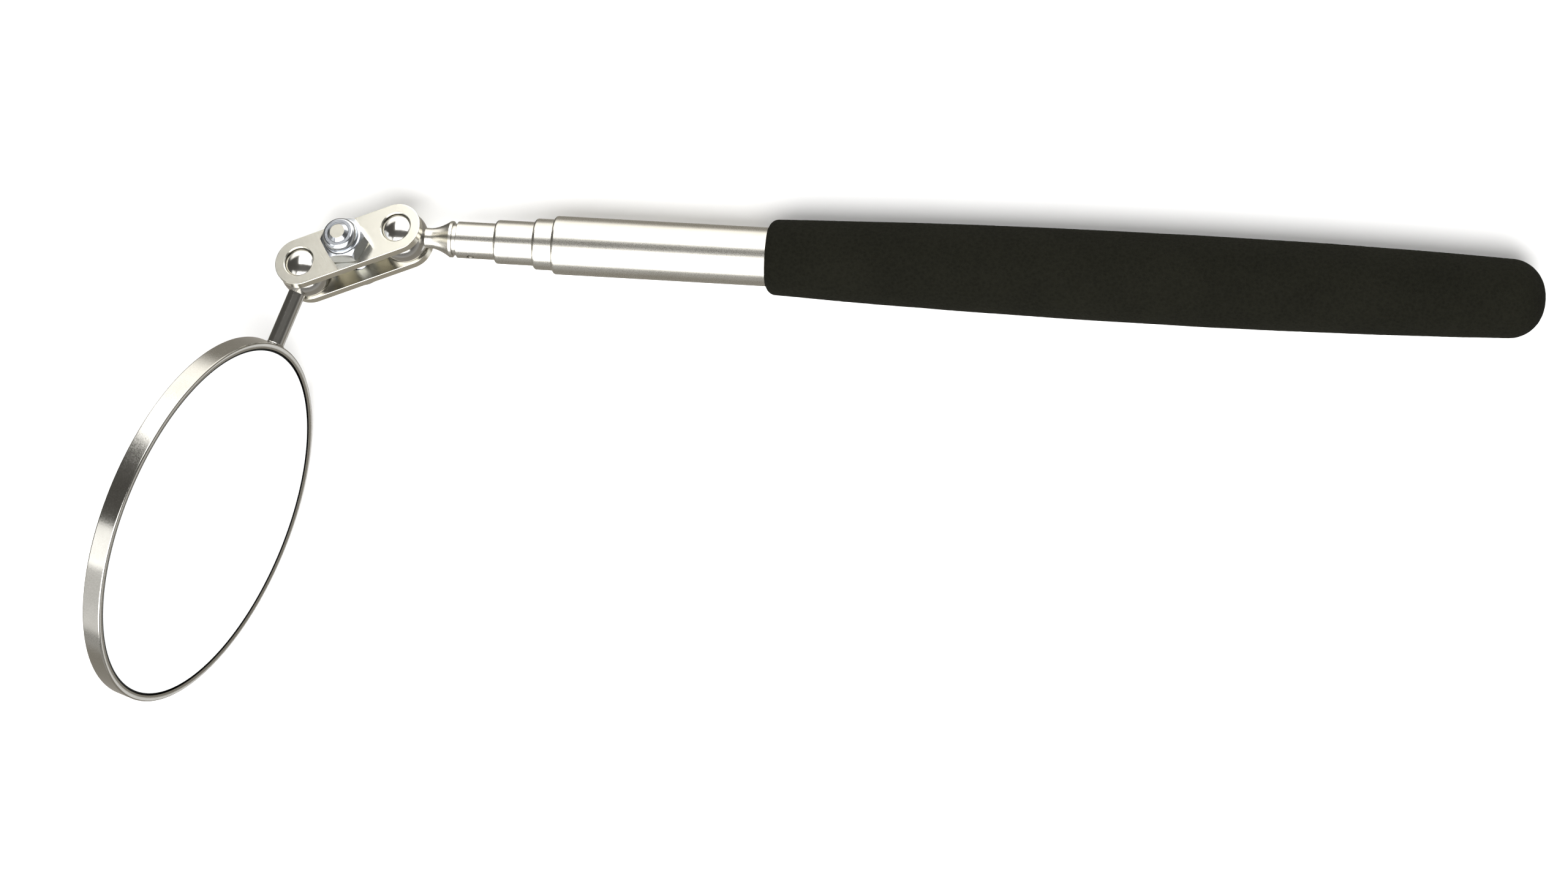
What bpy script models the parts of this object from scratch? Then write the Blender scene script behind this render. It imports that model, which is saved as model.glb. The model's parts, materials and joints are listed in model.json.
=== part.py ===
"""Telescopic inspection mirror: a foam-gripped handle of four nested tubes, a double ball
joint of two clamped plates, and a round glass mirror in a rolled metal cup.

The object lies on a table: the handle's axis is level and runs along X, with the grip
towards +X, and the grip's belly and the mirror's rim touch z = 0. All sizes are in metres.
"""

import math

import bmesh
import bpy
from mathutils import Matrix, Vector

MM = 0.001
NAME = "inspection_mirror"

# Placement of the handle axis in the part's frame (bottom centre of the bounding box)
HANDLE_X = -23.66 * MM
HANDLE_Y = 27.786 * MM
HANDLE_Z = 6.143 * MM

# Telescopic tubes: outer radius, front end and rear end along the handle axis
WALL = 0.30 * MM
RUN_GAP = 0.035 * MM
TUBE_8 = (4.0 * MM, -15.2 * MM, 112.6 * MM)
TUBE_7 = (3.5 * MM, -17.9 * MM, 108.6 * MM)
TUBE_6 = (3.0 * MM, -23.3 * MM, 104.4 * MM)
TUBE_5 = (2.5 * MM, -28.6 * MM, 100.2 * MM)
LIP_ROUND = 0.46 * MM
LIP_LAND = 0.30 * MM
TUBE_SIDES = 36
INNER_SIDES = 24

# Stop bush at the rear of each inner tube, and the slit spring sleeve in front of it
BUSH_FLANGE = 0.9 * MM
BUSH_PLUG = 2.6 * MM
BUSH_WALL = 0.30 * MM
SPRING_LENGTH = 13.0 * MM
SPRING_THICK = 0.11 * MM
SPRING_SLIT = 50.0

# Foam grip
GRIP_FRONT = 14.1 * MM
GRIP_END = 118.3 * MM
GRIP_FRONT_RADIUS = 5.12 * MM
GRIP_BELLY_RADIUS = 6.15 * MM
GRIP_BELLY_AT = 69.5 * MM
GRIP_REAR_RADIUS = 5.33 * MM
GRIP_REAR_AT = 113.5 * MM
GRIP_EDGE = 1.4 * MM
GRIP_BORE = 4.05 * MM
GRIP_BORE_END = 113.9 * MM

# Double ball joint
BALL_X = -36.3 * MM
BALL_RADIUS = 3.55 * MM
SEAT_RADIUS = 3.61 * MM
BALL_SPACING = 14.2 * MM
TIP_ROLL = -41.1
STUD_LEAN = -7.75
STUD_FOLD = 21.2
STEM_LEAN = -9.2
STEM_FOLD = 49.1
MIRROR_ROLL = 91.3
PLATE_HALF_WIDTH = 3.43 * MM
PLATE_THICK = 1.34 * MM
PLATE_GAP = 3.84 * MM
SOCKET_RADIUS = 2.05 * MM
SOCKET_CHAMFER = 0.16 * MM
PLATE_EDGE = 0.13 * MM

# Ball stud on the handle side
NECK_RADIUS = 1.38 * MM
COLLAR_RADIUS = 2.5 * MM
COLLAR_FROM = 6.65 * MM
COLLAR_TO = 7.15 * MM
SHANK_RADIUS = 2.17 * MM
SHANK_END = 13.0 * MM
PIN_AT = 9.7 * MM
PIN_RADIUS = 0.42 * MM
PIN_LENGTH = 4.5 * MM
PIN_CUTTER_LENGTH = 8 * MM

# Clamp screw and lock nut
SCREW_RADIUS = 1.45 * MM
SCREW_HOLE = 1.6 * MM
SCREW_END = 7.62 * MM
HEAD_RADIUS = 2.75 * MM
HEAD_HEIGHT = 1.7 * MM
SLOT_WIDTH = 0.8 * MM
SLOT_DEPTH = 0.8 * MM
SLOT_TURN = 35.0
NUT_FLATS = 5.5 * MM
NUT_HEX = 2.5 * MM
NUT_HEIGHT = 3.95 * MM
NUT_COLLAR = 2.35 * MM
NUT_TOP = 1.9 * MM
NUT_BORE = 1.5 * MM
NUT_TURN = 12.0
REST_GAP = 0.03 * MM

# Mirror head, measured from the glass face, with the stem at right angles to its normal
MIRROR_REACH = 37.04 * MM
STEM_RADIUS = 1.17 * MM
STEM_BELOW_GLASS = 1.3 * MM
CUP_RADIUS = 26.0 * MM
CUP_TOP = 0.2 * MM
CUP_BOTTOM = -2.5 * MM
CUP_FLOOR = -2.0 * MM
CUP_INSIDE = 25.45 * MM
LIP_INNER = 25.12 * MM
GLASS_RADIUS = 25.35 * MM
GLASS_THICK = 1.65 * MM
GLASS_GROUND = 0.35 * MM
PAD_RADIUS = 24.6 * MM
CUP_SIDES = 72


def clear_scene():
    for obj in list(bpy.data.objects):
        bpy.data.objects.remove(obj, do_unlink=True)


def new_collection(name):
    group = bpy.data.collections.new(name)
    bpy.context.scene.collection.children.link(group)
    return group


clear_scene()
PARTS = new_collection(NAME)
CUTTERS = new_collection("cutters")


def material(name, color, roughness, metallic):
    mat = bpy.data.materials.new(name)
    mat.use_nodes = True
    shader = mat.node_tree.nodes["Principled BSDF"]
    shader.inputs["Base Color"].default_value = (*color, 1.0)
    shader.inputs["Roughness"].default_value = roughness
    shader.inputs["Metallic"].default_value = metallic
    return mat


def empty(name, parent=None, location=(0, 0, 0), degrees=(0, 0, 0), order="XYZ"):
    obj = bpy.data.objects.new(name, None)
    obj.empty_display_size = 3 * MM
    obj.rotation_mode = order
    obj.location = location
    obj.rotation_euler = [math.radians(d) for d in degrees]
    obj.parent = parent
    PARTS.objects.link(obj)
    return obj


def arc(center_r, center_z, radius, start, end, count):
    """Points on an arc in the (r, z) plane of a turned profile, angles in degrees."""
    points = []
    for i in range(count + 1):
        t = math.radians(start + (end - start) * i / count)
        points.append((center_r + radius * math.cos(t), center_z + radius * math.sin(t)))
    return points


def turned(name, profile, sides, closed=True, group=PARTS):
    """A solid of revolution about local Z from (r, z) points, outer side from top down."""
    mesh = bpy.data.meshes.new(name)
    count = len(profile)
    edges = [(i, i + 1) for i in range(count - 1)]
    if closed:
        edges.append((count - 1, 0))
    mesh.from_pydata([(r, 0.0, z) for r, z in profile], edges, [])
    obj = bpy.data.objects.new(name, mesh)
    group.objects.link(obj)
    screw = obj.modifiers.new("turn", "SCREW")
    screw.axis = "Z"
    screw.steps = sides
    screw.render_steps = sides
    screw.use_merge_vertices = True
    screw.merge_threshold = 1e-7
    screw.use_smooth_shade = True
    return obj


def outline(name, points, thickness, group=PARTS):
    """A flat closed outline in XY, extruded by half its thickness to each side of z = 0."""
    curve = bpy.data.curves.new(name, "CURVE")
    curve.dimensions = "2D"
    curve.fill_mode = "BOTH"
    curve.extrude = thickness / 2
    spline = curve.splines.new("POLY")
    spline.points.add(len(points) - 1)
    for point, (x, y) in zip(spline.points, points):
        point.co = (x, y, 0.0, 1.0)
    spline.use_cyclic_u = True
    obj = bpy.data.objects.new(name, curve)
    group.objects.link(obj)
    return obj


def to_mesh(obj):
    """Bakes a curve or a modifier stack into a plain welded mesh, in place of the object."""
    graph = bpy.context.evaluated_depsgraph_get()
    mesh = bpy.data.meshes.new_from_object(obj.evaluated_get(graph))
    work = bmesh.new()
    work.from_mesh(mesh)
    bmesh.ops.remove_doubles(work, verts=work.verts, dist=1e-7)
    work.to_mesh(mesh)
    work.free()
    group = obj.users_collection[0]
    name = obj.name
    made = bpy.data.objects.new(name + "_mesh", mesh)
    made.matrix_world = obj.matrix_world
    group.objects.link(made)
    bpy.data.objects.remove(obj, do_unlink=True)
    made.name = name
    mesh.name = name
    return made


def to_mesh_now(obj):
    bpy.context.view_layer.update()
    return to_mesh(obj)


def boolean(obj, other, operation="DIFFERENCE"):
    cut = obj.modifiers.new(other.name, "BOOLEAN")
    cut.operation = operation
    cut.solver = "EXACT"
    cut.object = other
    other.hide_render = True
    other.display_type = "WIRE"
    return cut


def bevel(obj, width, segments=2, angle=40.0):
    edge = obj.modifiers.new("edge", "BEVEL")
    edge.width = width
    edge.segments = segments
    edge.limit_method = "ANGLE"
    edge.angle_limit = math.radians(angle)
    return edge


def cylinder(name, radius, depth, location, degrees=(0, 0, 0), sides=24, group=CUTTERS):
    bpy.ops.mesh.primitive_cylinder_add(vertices=sides, radius=radius, depth=depth)
    obj = bpy.context.object
    return settle(obj, name, location, degrees, group)


def box(name, size, location, degrees=(0, 0, 0), group=CUTTERS):
    bpy.ops.mesh.primitive_cube_add(size=1.0)
    obj = bpy.context.object
    obj.data.transform(Matrix.Diagonal((*size, 1.0)))
    return settle(obj, name, location, degrees, group)


def settle(obj, name, location, degrees, group):
    """Names a new primitive, moves it to its collection and puts it in place."""
    for old in list(obj.users_collection):
        old.objects.unlink(obj)
    group.objects.link(obj)
    obj.name = name
    obj.location = location
    obj.rotation_euler = [math.radians(d) for d in degrees]
    return obj


def finish(obj, mat, parent, location=(0, 0, 0), degrees=(0, 0, 0), sharp=35.0):
    """Bakes the piece, shades it smooth up to its sharp edges, and hangs it on its parent."""
    made = to_mesh_now(obj)
    made.data.shade_smooth()
    made.data.set_sharp_from_angle(angle=math.radians(sharp))
    made.data.materials.clear()
    made.data.materials.append(mat)
    made.matrix_world = Matrix.Identity(4)
    made.parent = parent
    made.location = location
    made.rotation_euler = [math.radians(d) for d in degrees]
    return made


# Materials
NICKEL = material("satin_nickel", (0.56, 0.55, 0.52), 0.32, 1.0)
STEEL = material("polished_steel", (0.62, 0.61, 0.59), 0.12, 1.0)
PLATE = material("bead_blasted_nickel", (0.66, 0.64, 0.58), 0.42, 1.0)
ZINC = material("blue_zinc", (0.60, 0.62, 0.66), 0.28, 1.0)
BRONZE = material("spring_bronze", (0.58, 0.40, 0.20), 0.35, 1.0)
BRASS = material("turned_brass", (0.72, 0.55, 0.25), 0.30, 1.0)
NYLON = material("nylon", (0.75, 0.76, 0.72), 0.45, 0.0)
FOAM = material("black_foam", (0.016, 0.016, 0.012), 0.85, 0.0)
MIRROR = material("silvered_glass", (0.90, 0.91, 0.91), 0.02, 1.0)
BOARD = material("grey_board", (0.32, 0.31, 0.29), 0.9, 0.0)

# Frames: the handle, the tip that turns in the telescope, the plates and the mirror's stem
ALONG = (0, 90, 0)  # turns a profile's Z on to the handle's X
HANDLE = empty("handle_frame", None, (HANDLE_X, HANDLE_Y, HANDLE_Z))
TELESCOPE_7 = empty("tube_7_frame", HANDLE)
TELESCOPE_6 = empty("tube_6_frame", TELESCOPE_7)
TELESCOPE_5 = empty("tube_5_frame", TELESCOPE_6)
TIP = empty("tip_frame", TELESCOPE_5, degrees=(TIP_ROLL, 0, 0))
LINK = empty("link_frame", TIP, (BALL_X, 0, 0), (0, STUD_LEAN, STUD_FOLD), "ZYX")
SWIVEL = empty("swivel_frame", LINK, (-BALL_SPACING, 0, 0), (0, STEM_LEAN, STEM_FOLD))
HEAD = empty("head_frame", SWIVEL, degrees=(MIRROR_ROLL, 0, 0))
GLASS_FACE = empty("glass_frame", HEAD, (-MIRROR_REACH, 0, STEM_BELOW_GLASS))


def grip_radius(x):
    """Outer radius of the foam grip along the handle: a shallow barrel."""
    if x < GRIP_BELLY_AT:
        share = (GRIP_BELLY_AT - x) / (GRIP_BELLY_AT - GRIP_FRONT)
        return GRIP_BELLY_RADIUS - (GRIP_BELLY_RADIUS - GRIP_FRONT_RADIUS) * share ** 2.1
    share = (x - GRIP_BELLY_AT) / (GRIP_REAR_AT - GRIP_BELLY_AT)
    return GRIP_BELLY_RADIUS - (GRIP_BELLY_RADIUS - GRIP_REAR_RADIUS) * share ** 2.1


def grip_profile():
    dome = GRIP_END - GRIP_REAR_AT
    points = []
    for i in range(6):
        t = math.radians(90.0 - 90.0 * i / 5)
        flat = math.cos(t) ** 0.9
        points.append((GRIP_REAR_RADIUS * flat, GRIP_REAR_AT + dome * math.sin(t)))
    stations = 6
    front = GRIP_FRONT + GRIP_EDGE
    for i in range(1, stations + 1):
        x = GRIP_REAR_AT + (front - GRIP_REAR_AT) * i / stations
        points.append((grip_radius(x), x))
    edge = grip_radius(front)
    points += arc(edge - GRIP_EDGE, front, GRIP_EDGE, -30, -90, 2)
    points.append((GRIP_BORE, GRIP_FRONT))
    points.append((GRIP_BORE, GRIP_BORE_END))
    points.append((0.0, GRIP_BORE_END))
    return points


finish(turned("grip_sleeve", grip_profile(), 28, closed=False), FOAM, HANDLE, degrees=ALONG)


def tube_profile(radius, front, rear, mouth):
    """A drawn tube whose front end is rolled in to leave a mouth for the next tube."""
    inner = radius - WALL
    round_out = min(LIP_ROUND, radius - mouth)
    points = [(radius, rear), (radius, front + round_out)]
    points += arc(radius - round_out, front + round_out, round_out, -22.5, -90, 3)
    if mouth < radius - round_out:
        points.append((mouth, front))
    points.append((mouth, front + LIP_LAND))
    points.append((inner, front + LIP_LAND + 0.35 * MM))
    points.append((inner, rear))
    return points


def drawn_tube(name, size, next_radius, parent):
    radius, front, rear = size
    profile = tube_profile(radius, front, rear, next_radius + RUN_GAP)
    return finish(turned(name, profile, TUBE_SIDES), NICKEL, parent, degrees=ALONG)


drawn_tube("tube_8mm", TUBE_8, TUBE_7[0], HANDLE)
drawn_tube("tube_7mm", TUBE_7, TUBE_6[0], TELESCOPE_7)
drawn_tube("tube_6mm", TUBE_6, TUBE_5[0], TELESCOPE_6)


def innermost_tube():
    """The 5 mm tube: square front end against the stud's collar, and a cross-pin hole."""
    radius, front, rear = TUBE_5
    inner = radius - WALL
    edge = 0.08 * MM
    profile = [(radius, rear), (radius, front + edge), (radius - edge, front)]
    profile += [(inner, front), (inner, rear)]
    tube = turned("tube_5mm", profile, TUBE_SIDES)
    hole = cylinder(
        "pin_hole_cutter",
        PIN_RADIUS + 0.06 * MM,
        PIN_CUTTER_LENGTH,
        (0, 0, BALL_X + PIN_AT),
        (90, 0, 0),
        20,
    )
    boolean(tube, hole)
    return finish(tube, NICKEL, TIP, degrees=ALONG)


innermost_tube()


def stop_bush(name, size, outer_size, parent):
    """Flanged bush pressed into a tube's rear end; its flange runs inside the next tube."""
    radius, _, rear = size
    flange = outer_size[0] - WALL - RUN_GAP
    plug = radius - WALL - 0.02 * MM
    bore = plug - BUSH_WALL
    back = rear + 0.02 * MM
    profile = [(flange, back + BUSH_FLANGE), (flange, back), (plug, back)]
    profile += [(plug, rear - BUSH_PLUG), (bore, rear - BUSH_PLUG), (bore, back + BUSH_FLANGE)]
    bush = turned(name, profile, INNER_SIDES)
    return finish(bush, BRASS, parent, degrees=ALONG)


def friction_spring(name, size, parent):
    """Slit sleeve of spring bronze around a tube's rear end; it drags on the outer tube."""
    radius, _, rear = size
    inner = radius + 0.045 * MM
    outer = inner + SPRING_THICK
    half = math.radians(180.0 - SPRING_SLIT / 2)
    count = 24
    angles = [-half + 2 * half * i / count for i in range(count + 1)]
    points = [(outer * math.cos(t), outer * math.sin(t)) for t in angles]
    points += [(inner * math.cos(t), inner * math.sin(t)) for t in reversed(angles)]
    spring = outline(name, points, SPRING_LENGTH)
    middle = rear - 0.2 * MM - SPRING_LENGTH / 2
    return finish(spring, BRONZE, parent, (middle, 0, 0), ALONG)


stop_bush("stop_bush_7mm", TUBE_7, TUBE_8, TELESCOPE_7)
stop_bush("stop_bush_6mm", TUBE_6, TUBE_7, TELESCOPE_6)
stop_bush("stop_bush_5mm", TUBE_5, TUBE_6, TELESCOPE_5)
friction_spring("friction_spring_7mm", TUBE_7, TELESCOPE_7)
friction_spring("friction_spring_6mm", TUBE_6, TELESCOPE_6)
friction_spring("friction_spring_5mm", TUBE_5, TELESCOPE_5)


def end_plug():
    """Closes the rear of the outer tube under the foam, and stops the inner tubes."""
    radius, _, rear = TUBE_8
    plug = radius - WALL - 0.03 * MM
    face = rear + 0.02 * MM
    top = face + 0.8 * MM
    profile = [(0.0, top), (radius - 0.2 * MM, top), (radius, top - 0.2 * MM), (radius, face)]
    profile += [(plug, face), (plug, rear - 1.8 * MM), (plug - 0.3 * MM, rear - 2.1 * MM)]
    profile += [(0.0, rear - 2.1 * MM)]
    plug_piece = turned("end_plug", profile, INNER_SIDES, closed=False)
    return finish(plug_piece, BRASS, HANDLE, degrees=ALONG)


end_plug()


def stud_profile():
    """Ball, waisted neck, flared collar and the shank inside the 5 mm tube, along Z."""
    start = math.degrees(math.asin(NECK_RADIUS / BALL_RADIUS))
    neck_end = 3.95 * MM
    flare = COLLAR_RADIUS - NECK_RADIUS
    points = [(0.0, SHANK_END), (SHANK_RADIUS - 0.3 * MM, SHANK_END)]
    points.append((SHANK_RADIUS, SHANK_END - 0.3 * MM))
    points.append((SHANK_RADIUS, COLLAR_TO))
    points += [(COLLAR_RADIUS - 0.08 * MM, COLLAR_TO), (COLLAR_RADIUS, COLLAR_TO - 0.08 * MM)]
    points.append((COLLAR_RADIUS, COLLAR_FROM + 0.06 * MM))
    steps = 5
    for i in range(steps + 1):
        share = 1.0 - i / steps
        z = neck_end + (COLLAR_FROM - neck_end) * share
        points.append((NECK_RADIUS + (flare - 0.05 * MM) * share ** 1.7, z))
    points += arc(0.0, 0.0, BALL_RADIUS, 90 - start, -80, 11)
    points.append((0.0, -BALL_RADIUS))
    return points


def ball_stud():
    stud = turned("ball_stud", stud_profile(), TUBE_SIDES, closed=False)
    hole = cylinder(
        "stud_hole_cutter",
        PIN_RADIUS + 0.03 * MM,
        PIN_CUTTER_LENGTH,
        (0, 0, PIN_AT),
        (90, 0, 0),
        16,
    )
    boolean(stud, hole)
    return finish(stud, NICKEL, TIP, (BALL_X, 0, 0), ALONG)


ball_stud()


def retaining_pin():
    pin = cylinder("retaining_pin", PIN_RADIUS, PIN_LENGTH, (0, 0, 0), sides=16, group=PARTS)
    bevel(pin, 0.08 * MM, 1)
    return finish(pin, STEEL, TIP, (BALL_X + PIN_AT, 0, 0), (90, 0, 0))


retaining_pin()


def obround(length, radius, count):
    """Outline of a bar with round ends, centred on the origin along X."""
    points = []
    for side in (1, -1):
        for i in range(count + 1):
            t = math.radians(-90 + 180 * i / count)
            x = length / 2 + radius * math.cos(t)
            points.append((side * x, side * radius * math.sin(t)))
    return points


def socket_cutter(name, x, side):
    """A hole through a plate, chamfered outside, that widens inside to a seat for the ball."""
    face = PLATE_GAP / 2 + PLATE_THICK
    flare = SOCKET_RADIUS + SOCKET_CHAMFER + 0.5 * MM
    high = face + 0.5 * MM
    low = PLATE_GAP / 2 - 0.3 * MM
    profile = [(0.0, high), (flare, high), (SOCKET_RADIUS, face - SOCKET_CHAMFER)]
    seat_from = math.degrees(math.acos(SOCKET_RADIUS / SEAT_RADIUS))
    seat_to = math.degrees(math.asin(low / SEAT_RADIUS))
    profile += arc(0.0, 0.0, SEAT_RADIUS, seat_from, seat_to, 3)
    profile.append((0.0, low))
    cutter = turned(name, profile, 36, closed=False, group=CUTTERS)
    cutter = to_mesh_now(cutter)
    cutter.rotation_euler = (0 if side > 0 else math.pi, 0, 0)
    cutter.location = (x, 0, 0)
    return cutter


def link_plate(name, side):
    middle = side * (PLATE_GAP + PLATE_THICK) / 2
    blank = outline(name, obround(BALL_SPACING, PLATE_HALF_WIDTH, 18), PLATE_THICK)
    blank.location = (0, 0, middle)
    plate = to_mesh_now(blank)
    bevel(plate, PLATE_EDGE, 1)
    for end in (-1, 1):
        cutter = socket_cutter(f"{name}_socket_{end + 2}", end * BALL_SPACING / 2, side)
        boolean(plate, cutter)
    boolean(plate, cylinder(f"{name}_screw_cutter", SCREW_HOLE, 4 * MM, (0, 0, middle), sides=20))
    made = finish(plate, PLATE, LINK, (-BALL_SPACING / 2, 0, 0))
    made.data.transform(Matrix.Translation((0, 0, middle)))
    return made


link_plate("link_plate_front", 1)
link_plate("link_plate_rear", -1)

OUTER_FACE = PLATE_GAP / 2 + PLATE_THICK


def clamp_screw():
    """Slotted cheese-head screw from the rear plate through to the lock nut."""
    head = -OUTER_FACE - REST_GAP
    tip = 0.4 * MM
    profile = [(0.0, SCREW_END), (SCREW_RADIUS - tip, SCREW_END)]
    profile.append((SCREW_RADIUS, SCREW_END - tip))
    profile += [(SCREW_RADIUS, head), (HEAD_RADIUS, head)]
    profile += arc(HEAD_RADIUS - 0.5 * MM, head - HEAD_HEIGHT + 0.5 * MM, 0.5 * MM, 0, -90, 4)
    profile.append((0.0, head - HEAD_HEIGHT))
    screw = turned("clamp_screw", profile, 28, closed=False)
    slot = box(
        "slot_cutter",
        (SLOT_WIDTH, 8 * MM, 2 * SLOT_DEPTH),
        (0, 0, head - HEAD_HEIGHT),
        (0, 0, SLOT_TURN),
    )
    boolean(screw, slot)
    return finish(screw, ZINC, LINK, (-BALL_SPACING / 2, 0, 0))


def nut_shell_profile():
    """Envelope that rounds a hexagon's corners and turns its collar, with the bore left out."""
    corner = NUT_FLATS / math.sqrt(3.0)
    across = NUT_FLATS / 2
    low = REST_GAP
    points = [(0.0, NUT_HEIGHT), (NUT_TOP - 0.1 * MM, NUT_HEIGHT)]
    points += [(NUT_TOP, NUT_HEIGHT - 0.05 * MM), (NUT_TOP + 0.25 * MM, NUT_HEIGHT - 0.3 * MM)]
    points += [(NUT_COLLAR, NUT_HEIGHT - 0.75 * MM), (NUT_COLLAR, NUT_HEX)]
    points += [(across * 0.97, NUT_HEX), (corner + 0.1 * MM, NUT_HEX - 0.42 * MM)]
    points += [(corner + 0.1 * MM, low + 0.3 * MM), (across * 0.96, low), (0.0, low)]
    return points


def lock_nut():
    """Hexagon nut with a turned collar that holds the nylon ring."""
    corner = NUT_FLATS / math.sqrt(3.0)
    nut = cylinder("lock_nut", corner, 12 * MM, (0, 0, 0), sides=6, group=PARTS)
    shell = turned("nut_envelope", nut_shell_profile(), 36, closed=False, group=CUTTERS)
    boolean(nut, to_mesh_now(shell), "INTERSECT")
    bore = [(0.0, 5 * MM), (NUT_BORE, 5 * MM), (NUT_BORE, NUT_HEIGHT - 0.35 * MM)]
    bore += [(1.98 * MM, NUT_HEIGHT - 0.4 * MM), (1.98 * MM, NUT_HEX + 0.15 * MM)]
    bore += [(NUT_BORE, NUT_HEX + 0.1 * MM), (NUT_BORE, -1 * MM), (0.0, -1 * MM)]
    cutter = to_mesh_now(turned("nut_bore_cutter", bore, 24, closed=False, group=CUTTERS))
    boolean(nut, cutter)
    return finish(nut, ZINC, LINK, (-BALL_SPACING / 2, 0, OUTER_FACE), (0, 0, NUT_TURN), 25.0)


def nylon_insert():
    low = NUT_HEX + 0.2 * MM
    high = NUT_HEIGHT - 0.45 * MM
    profile = [(1.93 * MM, high), (1.93 * MM, low), (1.5 * MM, low), (1.5 * MM, high)]
    ring = turned("nylon_insert", profile, 24)
    return finish(ring, NYLON, LINK, (-BALL_SPACING / 2, 0, OUTER_FACE))


clamp_screw()
lock_nut()
nylon_insert()


def mirror_ball():
    """Ball of the mirror side, drilled for the stem, turning between the plates."""
    bore = STEM_RADIUS + 0.03 * MM
    start = math.degrees(math.asin(bore / BALL_RADIUS))
    depth = 0.9 * MM
    points = [(0.0, BALL_RADIUS)] + arc(0.0, 0.0, BALL_RADIUS, 80, -90 + start, 12)
    points += [(bore, -depth), (0.0, -depth)]
    ball = turned("mirror_ball", points, TUBE_SIDES, closed=False)
    return finish(ball, STEEL, SWIVEL, degrees=ALONG)


def mirror_stem():
    """Straight rod from the ball to the cup's wall, pointing away from the joint."""
    inner_end = -0.95 * MM
    outer_end = -(MIRROR_REACH - CUP_RADIUS - 0.04 * MM)
    edge = 0.12 * MM
    profile = [(0.0, inner_end), (STEM_RADIUS - edge, inner_end)]
    profile += [(STEM_RADIUS, inner_end - edge), (STEM_RADIUS, outer_end), (0.0, outer_end)]
    stem = turned("mirror_stem", profile, 28, closed=False)
    return finish(stem, STEEL, HEAD, degrees=ALONG)


mirror_ball()
mirror_stem()


def cup_profile():
    """Pressed cup: flat back, plain wall, and a lip rolled over the edge of the glass."""
    edge = 0.22 * MM
    points = [(LIP_INNER + 0.05 * MM, CUP_TOP), (CUP_RADIUS - edge, CUP_TOP)]
    points += arc(CUP_RADIUS - edge, CUP_TOP - edge, edge, 60, 0, 2)
    points += arc(CUP_RADIUS - edge, CUP_BOTTOM + edge, edge, 0, -90, 3)
    points += [(0.0, CUP_BOTTOM), (0.0, CUP_FLOOR), (CUP_INSIDE, CUP_FLOOR)]
    points += [(CUP_INSIDE, REST_GAP), (LIP_INNER, REST_GAP)]
    points.append((LIP_INNER, CUP_TOP - 0.05 * MM))
    return points


def mirror_cup():
    cup = turned("mirror_cup", cup_profile(), CUP_SIDES)
    return finish(cup, NICKEL, GLASS_FACE)


def mirror_glass():
    low = -GLASS_THICK
    profile = [(0.0, 0.0), (GLASS_RADIUS - GLASS_GROUND, 0.0), (GLASS_RADIUS, -GLASS_GROUND)]
    profile += [(GLASS_RADIUS, low), (0.0, low)]
    glass = turned("mirror_glass", profile, CUP_SIDES, closed=False)
    return finish(glass, MIRROR, GLASS_FACE)


def backing_pad():
    high = -GLASS_THICK - REST_GAP
    low = CUP_FLOOR + REST_GAP
    profile = [(0.0, high), (PAD_RADIUS, high), (PAD_RADIUS, low), (0.0, low)]
    pad = turned("backing_pad", profile, 36, closed=False)
    return finish(pad, BOARD, GLASS_FACE)


mirror_cup()
mirror_glass()
backing_pad()
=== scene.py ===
"""Looks of the telescopic inspection mirror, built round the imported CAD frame.

Each metal piece that shows is made again here with a fine mesh in the place that its CAD node
holds, the foam grip gets its own skin, and every surface has a procedural material. All sizes
are in metres, in the row frame.
"""

import json
import math

import bmesh
import bpy
from mathutils import Matrix, Vector, noise


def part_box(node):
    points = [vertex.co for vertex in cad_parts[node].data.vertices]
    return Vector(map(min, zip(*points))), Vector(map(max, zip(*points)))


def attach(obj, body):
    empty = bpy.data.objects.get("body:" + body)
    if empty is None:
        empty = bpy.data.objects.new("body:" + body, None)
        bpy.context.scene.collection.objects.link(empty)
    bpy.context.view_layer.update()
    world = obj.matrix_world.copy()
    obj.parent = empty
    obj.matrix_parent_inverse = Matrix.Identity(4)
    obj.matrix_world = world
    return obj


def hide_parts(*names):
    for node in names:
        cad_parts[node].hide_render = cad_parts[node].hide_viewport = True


MM = 0.001

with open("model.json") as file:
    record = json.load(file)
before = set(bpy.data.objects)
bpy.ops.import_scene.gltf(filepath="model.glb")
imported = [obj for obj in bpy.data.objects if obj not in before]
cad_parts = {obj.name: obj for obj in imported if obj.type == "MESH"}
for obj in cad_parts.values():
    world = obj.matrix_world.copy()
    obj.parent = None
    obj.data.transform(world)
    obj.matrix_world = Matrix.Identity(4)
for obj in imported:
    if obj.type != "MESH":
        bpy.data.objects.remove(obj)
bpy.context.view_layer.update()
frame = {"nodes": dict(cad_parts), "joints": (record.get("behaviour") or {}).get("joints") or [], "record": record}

JOINTS = {joint["name"]: joint for joint in frame["joints"]}

# Camera
CAMERA_AT = Vector((0.04587, 0.18187, 0.48202))
CAMERA_RIGHT = Vector((0.99285, 0.0206, -0.1176))
CAMERA_UP = Vector((-0.0607, 0.9354, -0.3483))
CAMERA_LENS = 85.0
CAMERA_CLIP = (0.01, 50.0)

# Telescopic tubes, as in the CAD frame
TUBE_WALL = 0.30 * MM
TUBE_RUN = 0.035 * MM
LIP_ROUND = 0.46 * MM
LIP_LAND = 0.30 * MM
TUBE_RADII = {
    "tube_8mm": 4.0 * MM,
    "tube_7mm": 3.5 * MM,
    "tube_6mm": 3.0 * MM,
    "tube_5mm": 2.5 * MM,
}

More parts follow.
